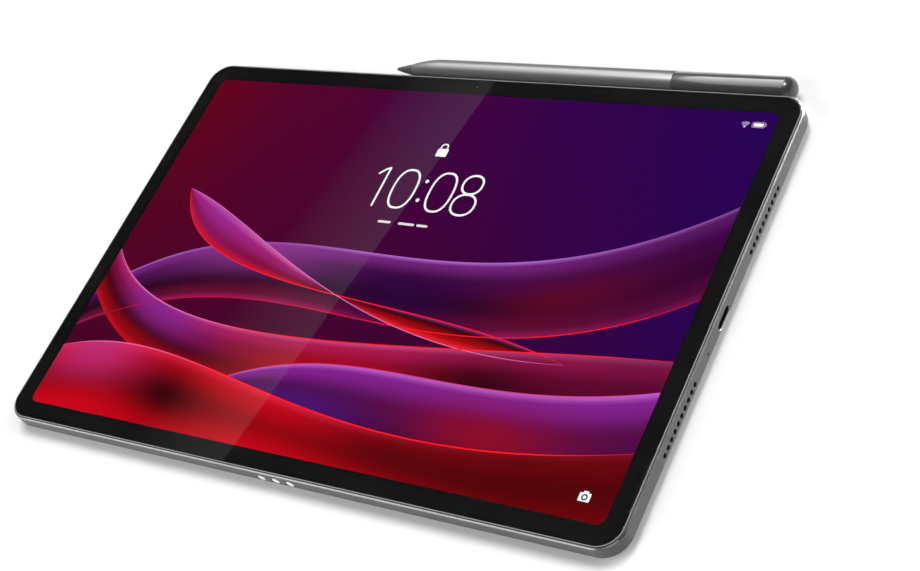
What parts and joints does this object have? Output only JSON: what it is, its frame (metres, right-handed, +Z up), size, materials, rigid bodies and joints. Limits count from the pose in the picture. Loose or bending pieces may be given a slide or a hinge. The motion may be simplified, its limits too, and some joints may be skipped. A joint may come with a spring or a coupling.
{
  "type": "tablet computer",
  "caption": "Thin landscape tablet computer with metal back, twin rear cameras, edge keys and a stylus docked on its long edge.",
  "frame": {"origin": "centre of the bottom of the bounding box, with the tablet lying on its back and the pen docked", "axes": "+X right along the long side of the screen, +Y towards the edge that holds the pen, +Z up out of the screen"},
  "size_m": [0.2912, 0.1984, 0.0118],
  "materials": {
    "anodised": "bead-blasted, grey-green anodised",
    "island": "fine-blasted, grey-green anodised",
    "polished": "polished",
    "lip": "satin",
    "cover_glass": "polished, black border behind",
    "lens_glass": "polished, black-backed",
    "lcd": "lit screen showing a dark magenta picture",
    "backlight": "white diffuser stack",
    "magnesium": "cast magnesium, satin",
    "cell": "black pouch",
    "pcb": "solder mask",
    "graphite": "matt sheet",
    "flash_window": "lens-textured",
    "flex": "polyimide",
    "contact": "plated, polished",
    "pen_metal": "satin anodised",
    "pen_gloss": "gloss, dark grey",
    "nib": "matt, dark grey",
    "mesh": "acoustic cloth",
    "black_polymer": "matt black",
    "steel": "plated"
  },
  "bodies": {
    "tablet": {"backlight_unit": "backlight", "battery_cell_left": "cell", "battery_cell_right": "cell", "bezel_frame": "lip", "camera_island": "island", "chassis_plate": "magnesium", "chassis_screw_1": "steel", "chassis_screw_2": "steel", "chassis_screw_3": "steel", "chassis_screw_4": "steel", "cover_glass": "cover_glass", "display_flex": "flex", "dock_charge_coil": "flex", "dock_contact_a": "contact", "dock_contact_b": "contact", "dock_contact_c": "contact", "dock_contact_carrier": "black_polymer", "dock_magnet_inner": "steel", "dock_magnet_outer": "steel", "flash_disc": "island", "flash_led": "flash_window", "flash_window": "flash_window", "front_camera": "black_polymer", "heat_spreader": "graphite", "lcd_panel": "lcd", "lens_ring_main": "polished", "lens_ring_second": "polished", "lens_window_main": "lens_glass", "lens_window_second": "lens_glass", "light_sensor": "black_polymer", "mainboard": "pcb", "microphone": "steel", "power_switch": "steel", "rear_camera_main": "black_polymer", "rear_camera_second": "black_polymer", "rear_housing": "anodised", "shield_power": "steel", "shield_processor": "steel", "shield_radio": "steel", "speaker_left_lower": "black_polymer", "speaker_left_upper": "black_polymer", "speaker_mesh_left_lower": "mesh", "speaker_mesh_left_upper": "mesh", "speaker_mesh_right_lower": "mesh", "speaker_mesh_right_upper": "mesh", "speaker_right_lower": "black_polymer", "speaker_right_upper": "black_polymer", "usb_board": "pcb", "usb_c_receptacle": "steel", "volume_switch_down": "steel", "volume_switch_up": "steel"},
    "pen": {"pen_barrel": "pen_metal", "pen_rear_sleeve": "pen_gloss", "pen_board": "pcb", "pen_battery": "cell", "pen_magnet": "steel"},
    "pen_nib": {"pen_nib": "nib"},
    "power_button": {"power_button": "anodised"},
    "volume_rocker": {"volume_rocker": "anodised"}
  },
  "joints": [
    {"name": "power_press", "type": "slide", "parent": "tablet", "child": "power_button", "axis": [1, 0, 0], "range_m": [0, 0.00035], "stiffness_N_per_m": 4000},
    {"name": "volume_rock", "type": "hinge", "parent": "tablet", "child": "volume_rocker", "pos_m": [-0.11585, 0.0882, 0.0069], "axis": [0, 0, 1], "range_deg": [-1, 1], "stiffness_Nm_per_rad": 0.5},
    {"name": "pen_lift", "type": "slide", "parent": "tablet", "child": "pen", "axis": [0, 1, 0], "range_m": [0, 0.025]},
    {"name": "nib_press", "type": "slide", "parent": "pen", "child": "pen_nib", "axis": [1, 0, 0], "range_m": [0, 0.0002], "stiffness_N_per_m": 5000}
  ]
}
